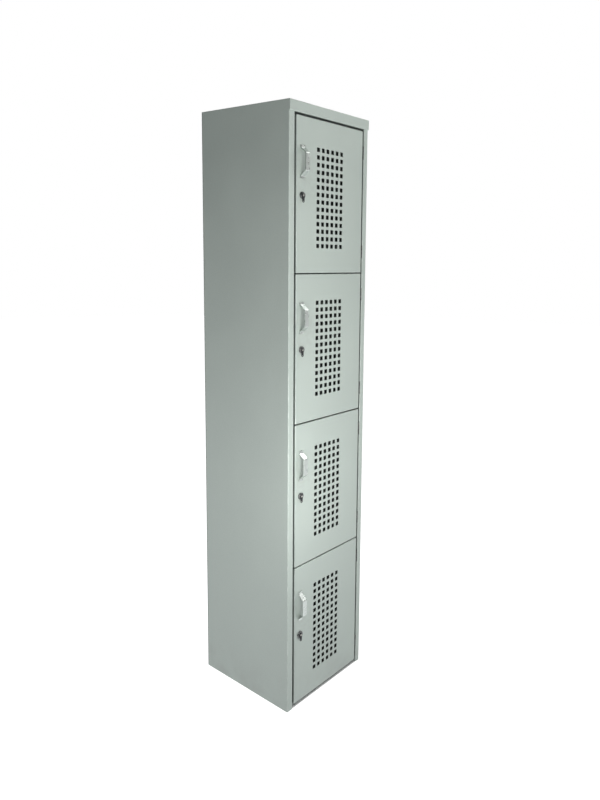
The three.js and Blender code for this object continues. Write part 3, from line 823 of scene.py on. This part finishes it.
def lock_housing(number, place):
    """A dished collar in front of the door and a threaded barrel behind it, round an open bore."""
    low, high = box_mm(f"lock_housing_{number}")
    front, back = low[1], high[1]
    radius = (high[0] - low[0]) / 2
    collar_back = box_mm(f"door_{number}")[0][1] - CLEARANCE
    start, end = collar_back + THREAD_START, back - THREAD_END
    stations = [(LOCK_BORE, back, 0.0)]
    stations += [(wide, front + deep, worn) for wide, deep, worn in COLLAR_FACE]
    stations += [(radius, front + COLLAR_DEPTH, 0.5), (radius, collar_back, 0.2)]
    stations += [(BARREL, collar_back, 0.0), (BARREL, start, 0.0)]
    step = (end - start) / THREADS
    for k in range(THREADS):
        at = start + (end - start) * k / THREADS
        stations += [(BARREL, at + 0.25 * step, 0.6), (THREAD_ROOT, at + 0.75 * step, 0.0)]
    stations += [(BARREL, end, 0.5), (BARREL_TIP, back, 0.2), stations[0]]
    housing = Solid()
    housing.lathe(stations, place, 40, caps=False)
    replaced = [f"lock_housing_{number}"]
    body = f"door_{number}_assembly"
    housing.build(f"lock_body_{number}", dark_nickel, body, replaced, weld=True)


def lock_nut(number, place):
    """A hexagon nut on the barrel, with a toothed washer against the door."""
    low, high = box_mm(f"lock_nut_{number}")
    nut = Solid()
    hexagon, hole = circle(NUT_RADIUS, 6), circle(NUT_HOLE, 32)
    nut.plate(hexagon, [hole], low[1] + NUT_START, high[1], NUT_EDGE, place)
    corners = 2 * TOOTH_COUNT
    rims = (circle(TOOTH_ROOT, corners), circle(TOOTH_TIP, corners))
    teeth = [rims[k % 2][k] for k in range(corners)]
    washer_hole = circle(TOOTH_WASHER_HOLE, 24)
    nut.plate(teeth, [washer_hole], low[1], low[1] + TOOTH_WASHER, TOOTH_WASHER_EDGE, place)
    body = f"door_{number}_assembly"
    nut.build(f"lock_nut_hex_{number}", zinc, body, [f"lock_nut_{number}"])


def lock_plug(number, place, body):
    """The turning plug: an open keyway in its face and a square tail for the cam."""
    low, high = box_mm(f"lock_plug_{number}")
    housing_back = box_mm(f"lock_housing_{number}")[1][1]
    front = low[1]
    stations = [(radius, front + deep, worn) for radius, deep, worn in PLUG_FACE]
    plug_back = housing_back + PLUG_PAST_BARREL
    stations.append((PLUG_RADIUS, plug_back, 0.0))
    plug = Solid()
    rings = plug.lathe(stations, place, 40, caps=False)
    slot = centred_rectangle(*KEYWAY, KEYWAY_CORNER)
    walls = [[place(u, v, w) for u, v in slot] for w in (front, front + KEYWAY_DEPTH)]
    plug.loft(walls, caps=False)
    plug.fill([rings[0], walls[0]])
    plug.fill([walls[1]])
    plug.fill([rings[-1]])
    tail = centred_rectangle(PLUG_TAIL, PLUG_TAIL, TAIL_CORNER)
    plug.plate(tail, [], plug_back - TAIL_OVERLAP, high[1], METAL_EDGE, place)
    plug.build(f"lock_plug_face_{number}", dark_nickel, body, [f"lock_plug_{number}"])


def key(number, place, body):
    """The key with its bow folded down: plastic bow, metal pivot and the blade in the keyway."""
    low, high = box_mm(f"key_{number}")
    front, reach = low[1], high[2] - low[2] - KEY_HUB
    back = front + KEY_THICKNESS
    bow = Solid()
    eye = circle(KEY_EYE, 16, (0, KEY_END - reach))
    bow.plate(tab(reach, KEY_HUB, KEY_END), [eye], front + BOW_START, back, BOW_EDGE, place)
    half_wide, half_tall = RIB_SIZE[0] / 2, RIB_SIZE[1] / 2
    for k in range(RIBS):
        middle = -RIB_FIRST - RIB_PITCH * k
        low_corner, high_corner = (-half_wide, middle - half_tall), (half_wide, middle + half_tall)
        rib = rounded_rectangle(low_corner, high_corner, RIB_CORNER, 2)
        bow.plate(rib, [], front + RIB_FOOT, front, RIB_EDGE, place)
    bow.build(f"key_bow_{number}", key_plastic, body, [f"key_{number}"])
    metal = Solid()
    metal.lathe([(radius, front + deep, worn) for radius, deep, worn in KEY_PIVOT], place, 28)
    blade = centred_rectangle(*BLADE, BLADE_CORNER)
    metal.plate(blade, [], back - BLADE_OVERLAP, high[1], BLADE_EDGE, place)
    metal.build(f"key_blade_{number}", key_steel, body)


def cam(number, place, body):
    """The latching plate on the plug's tail, and the bolt that holds it."""
    low, high = box_mm(f"lock_cam_{number}")
    reach = high[2] - low[2] - CAM_HUB
    plate = Solid()
    square = centred_rectangle(CAM_SQUARE, CAM_SQUARE, CAM_SQUARE_CORNER)
    plate.plate(tab(reach, CAM_HUB, CAM_END), [square], low[1], high[1], CAM_EDGE, place)
    plate.build(f"cam_plate_{number}", zinc, body, [f"lock_cam_{number}"])
    bolt = Solid()
    washer, hole = circle(BOLT_WASHER, 32), circle(BOLT_WASHER_HOLE, 16)
    head_foot = high[1] + BOLT_FOOT
    bolt.plate(washer, [hole], high[1] + BOLT_GAP, head_foot, METAL_EDGE, place)
    bolt.plate(circle(BOLT_HEAD, 6), [], head_foot, high[1] + BOLT_TOP, BOLT_EDGE, place)
    bolt.build(f"cam_bolt_{number}", zinc, body)


# ---- hinges ----
LEAF_SHEET, LEAF_START, LEAF_CORNER = 1.5, 2.6, 1.8
LEAF_RIVET_INSET, LEAF_RIVET_ROW, LEAF_RIVET_HOLE = 4.2, 0.6, 1.5
LEAF_RIVET_RADIUS, LEAF_RIVET_HEIGHT = 2.4, 0.9
KNUCKLE_GAP, KNUCKLE_EDGE, KNUCKLE_BORE = 0.15, 0.35, 1.9
WEB_START, WEB_END, WEB_CORNER, WEB_EDGE = -0.2, 3.4, 0.1, 0.05
# radius, distance above the foot, and wear; then radius, distance below the top, and wear
PIN_FOOT = ((1.0, 0.0, 0.5), (1.5, 0.4, 0.3))
PIN_HEAD = ((1.5, 1.2, 0.0), (2.8, 1.2, 0.6), (2.8, 0.7, 1.0), (2.3, 0.2, 0.8), (1.2, 0.0, 0.5))


def hinge(number, end):
    """A butt hinge in the gap: a leaf with a knuckle on the door, one on the stile, and a pin."""
    stem = f"hinge_{number}_{end}"
    axis_x, axis_y, _ = joint_mm(f"door_{number}_swing")
    door_low, door_high = box_mm(f"{stem}_door_leaf")
    axis = (axis_x, axis_y, (door_low[2] + door_high[2]) / 2)
    radius = door_high[0] - axis_x
    hinge_leaf(f"{stem}_door_leaf", axis, radius, 1, f"door_{number}_assembly")
    hinge_leaf(f"{stem}_frame_leaf", axis, radius, -1, "cabinet")
    hinge_pin(f"{stem}_pin", along_z(axis_x, axis_y))


def hinge_leaf(name, axis, radius, side, body):
    """One leaf. Side 1 is the door's, with the upper knuckle, and side -1 the stile's, with the lower."""
    low, high = box_mm(name)
    axis_x, axis_y, middle = axis
    half = (high[2] - low[2]) / 2
    near = low[0] if side > 0 else high[0] - LEAF_SHEET
    far = near + LEAF_SHEET
    bottom, top = (KNUCKLE_GAP, half) if side > 0 else (-half, -KNUCKLE_GAP)
    rivet_y = high[1] - LEAF_RIVET_INSET
    rivet_rows = (-LEAF_RIVET_ROW * half, LEAF_RIVET_ROW * half)
    leaf = Solid()
    outline = rounded_rectangle((axis_y + LEAF_START, -half), (high[1], half), LEAF_CORNER, 4)
    holes = [circle(LEAF_RIVET_HOLE, 16, (rivet_y, z)) for z in rivet_rows]
    leaf.plate(outline, holes, near, far, METAL_EDGE, along_x(0, middle))
    stations = [
        (radius - KNUCKLE_EDGE, middle + bottom, 0.8),
        (radius, middle + bottom + KNUCKLE_EDGE, 1.0),
        (radius, middle + top - KNUCKLE_EDGE, 1.0),
        (radius - KNUCKLE_EDGE, middle + top, 0.8),
        (KNUCKLE_BORE, middle + top, 0.0),
        (KNUCKLE_BORE, middle + bottom, 0.0),
    ]
    leaf.lathe(stations + stations[:1], along_z(axis_x, axis_y), 32, caps=False)
    web = rounded_rectangle((axis_y + WEB_START, bottom), (axis_y + WEB_END, top), WEB_CORNER, 1)
    leaf.plate(web, [], near, far, WEB_EDGE, along_x(0, middle))
    foot = far if side > 0 else near
    for z in rivet_rows:
        rivet(leaf, along_x(rivet_y, middle + z), foot, LEAF_RIVET_RADIUS, side * LEAF_RIVET_HEIGHT)
    leaf.build(f"{name}_detail", hinge_steel, body, [name])


def hinge_pin(name, place):
    """The pin, pointed at its foot and headed at its top."""
    low, high = box_mm(name)
    stations = [(radius, low[2] + up, worn) for radius, up, worn in PIN_FOOT]
    stations += [(radius, high[2] - down, worn) for radius, down, worn in PIN_HEAD]
    pin = Solid()
    pin.lathe(stations, place, 28)
    pin.build(f"{name}_detail", hinge_steel, "cabinet", [name])


# ---- assembly ----
side_panel("left_side_skin", -1, LEFT_LOW, LEFT_HIGH)
side_panel("right_side_skin", 1, RIGHT_LOW, RIGHT_HIGH)
paint_packed_panels()
back_rivets()
for door_number in DOOR_NUMBERS:
    lock_x, lock_y, lock_z = (c * MM for c in joint_mm(f"lock_{door_number}_turn"))
    handled = (lock_x, lock_y, lock_z + GRIME_ABOVE_LOCK)
    door_skin(door_number, powder_coat(f"powder_coat_door_{door_number}", handled))
    handle(door_number)
    lock(door_number)
    for hinge_end in ("upper", "lower"):
        hinge(door_number, hinge_end)


# ---- studio ----
FLOOR_RADIUS, DOME_RADIUS = 12.0, 14.0
FLOOR_DROP = 0.0005
FLOOR_GLOW = 1.0
FLOOR_MARGIN, FLOOR_EDGE = 1.0, 5.0
# strengths straight down, at eye level and overhead, and the heights between which they change
WORLD_LEVELS = (1.08, 0.03, 0.12)
WORLD_LOWER, WORLD_UPPER = (-0.35, 0.05), (0.10, 0.70)
WORLD_COLOUR = (0.97, 0.985, 1.0, 1)
# name, place, target, size, watts, colour: soft boxes round the cabinet, in metres
SOFT_BOXES = [
    ("key_right", (2.45, -2.15, 2.80), (0.0, -0.18, 0.9), 0.5, 9.0, (1.0, 1.0, 0.98)),
    ("card_right", (2.55, -2.50, 1.50), (0.0, -0.18, 0.9), 2.2, 6.5, (1.0, 1.0, 1.0)),
    ("edge_front", (-0.90, -3.20, 1.00), (0.0, -0.18, 0.9), 0.5, 5.0, (1.0, 1.0, 1.0)),
    ("top_sheen", (2.00, -0.50, 3.00), (-0.1, -0.19, 1.0), 1.0, 16.0, (1.0, 1.0, 1.0)),
    ("doors_near_low", (-0.30, -0.62, 0.70), (-0.14, -0.18, 0.70), 0.35, 2.2, (1.0, 1.0, 0.98)),
    ("doors_near_high", (-0.35, -0.80, 1.35), (-0.10, -0.18, 1.35), 0.5, 2.7, (1.0, 1.0, 0.98)),
    ("side_fill", (-0.95, 0.05, 0.55), (-0.165, 0.03, 0.55), 0.3, 0.75, (1.0, 1.0, 1.0)),
    ("side_sheen_low", (-1.8, 1.6, 0.3), (-0.16, 0.0, 0.6), 0.8, 0.4, (1.0, 1.0, 1.0)),
    ("side_sheen_high", (-1.8, 1.6, 1.3), (-0.16, 0.0, 1.1), 0.6, 0.8, (1.0, 1.0, 1.0)),
]
CAMERA_PLACE = (-1.4273, -1.5243, 1.3915)
CAMERA_YAW, CAMERA_PITCH, CAMERA_ROLL = 55.090, -6.827, 1.630
CAMERA_LENS = 29.066
CAMERA_SHIFT = (-0.15498, -0.08551)


def floor_material():
    """A white floor that glows for the camera, except where the cabinet stands on it."""
    material, tree, shader, place, _ = new_material("floor_white", Roughness=0.9)
    cloud = ranged(tree, noise(tree, place, 1.5, 2), 0.3, 0.7)
    tone = blend_colour(tree, cloud, (0.92, 0.92, 0.92, 1), (0.90, 0.90, 0.90, 1))
    axes = node(tree, "ShaderNodeSeparateXYZ", {"Vector": place}).outputs
    sides = []
    for axis, low, high in (("X", LEFT_LOW[0], RIGHT_HIGH[0]), ("Y", FRONT, BACK_HIGH[1])):
        after = ranged(tree, axes[axis], (low - FLOOR_MARGIN) * MM, (low + FLOOR_EDGE) * MM)
        before = ranged(tree, axes[axis], (high + FLOOR_MARGIN) * MM, (high - FLOOR_EDGE) * MM)
        sides += [after, before]
    open_floor = maths(tree, "SUBTRACT", 1.0, product(tree, *sides))
    glow = product(tree, open_floor, FLOOR_GLOW)
    connect(tree, shader, Base_Color=tone, Emission_Strength=glow)
    shader.inputs["Emission Color"].default_value = (1, 1, 1, 1)
    return material


def add_floor():
    """The floor, which lights nothing and is not seen in reflections."""
    mesh = bpy.data.meshes.new("floor")
    shape = bmesh.new()
    bmesh.ops.create_circle(shape, cap_ends=True, radius=FLOOR_RADIUS, segments=96)
    shape.to_mesh(mesh)
    shape.free()
    floor = bpy.data.objects.new("floor", mesh)
    floor.location.z = -FLOOR_DROP
    floor.visible_diffuse = False
    floor.visible_glossy = False
    mesh.materials.append(floor_material())
    bpy.context.scene.collection.objects.link(floor)


def add_dome():
    """A white surround that only the camera sees."""
    mesh = bpy.data.meshes.new("backdrop")
    shape = bmesh.new()
    bmesh.ops.create_uvsphere(shape, u_segments=64, v_segments=32, radius=DOME_RADIUS)
    shape.to_mesh(mesh)
    shape.free()
    dome = bpy.data.objects.new("backdrop", mesh)
    material = bpy.data.materials.new("backdrop_white")
    material.use_nodes = True
    tree = material.node_tree
    glow = node(tree, "ShaderNodeEmission", {"Color": (1, 1, 1, 1), "Strength": 1.0})
    tree.links.new(glow.outputs[0], tree.nodes["Material Output"].inputs["Surface"])
    mesh.materials.append(material)
    for ray in ("diffuse", "glossy", "transmission", "volume_scatter", "shadow"):
        setattr(dome, f"visible_{ray}", False)
    bpy.context.scene.collection.objects.link(dome)


def add_lights():
    for name, place, target, size, watts, colour in SOFT_BOXES:
        lamp = bpy.data.lights.new(name, "AREA")
        lamp.shape = "SQUARE"
        lamp.size = size
        lamp.energy = watts
        lamp.color = colour
        box = bpy.data.objects.new(name, lamp)
        box.location = place
        aim = Vector(target) - Vector(place)
        box.rotation_euler = aim.to_track_quat("-Z", "Y").to_euler()
        box.visible_camera = False
        bpy.context.scene.collection.objects.link(box)


def add_world():
    """Surroundings that are bright below and dim at eye level and overhead."""
    world = bpy.data.worlds.new("studio")
    world.use_nodes = True
    tree = world.node_tree
    direction = node(tree, "ShaderNodeTexCoord").outputs["Generated"]
    height = node(tree, "ShaderNodeSeparateXYZ", {"Vector": direction}).outputs["Z"]
    below, level, above = WORLD_LEVELS
    lower = ranged(tree, height, *WORLD_LOWER, below, level)
    upper = ranged(tree, height, *WORLD_UPPER, 0.0, above - level)
    back = tree.nodes["Background"]
    back.inputs["Color"].default_value = WORLD_COLOUR
    tree.links.new(maths(tree, "ADD", lower, upper), back.inputs["Strength"])
    bpy.context.scene.world = world


def add_camera():
    yaw, pitch, roll = (math.radians(a) for a in (CAMERA_YAW, CAMERA_PITCH, CAMERA_ROLL))
    forward = Vector((math.sin(yaw) * math.cos(pitch), math.cos(yaw) * math.cos(pitch), math.sin(pitch)))
    level = Vector((math.cos(yaw), -math.sin(yaw), 0))
    upward = level.cross(forward)
    right = level * math.cos(roll) + upward * math.sin(roll)
    up = upward * math.cos(roll) - level * math.sin(roll)
    data = bpy.data.cameras.new("camera")
    data.lens = CAMERA_LENS
    data.sensor_fit = "AUTO"
    data.shift_x, data.shift_y = CAMERA_SHIFT
    camera = bpy.data.objects.new("camera", data)
    turn = Matrix((right, up, -forward)).transposed().to_4x4()
    camera.matrix_world = Matrix.Translation(CAMERA_PLACE) @ turn
    bpy.context.scene.collection.objects.link(camera)
    bpy.context.scene.camera = camera


add_floor()
add_dome()
add_lights()
add_world()
add_camera()
bpy.context.scene.view_settings.view_transform = "Standard"
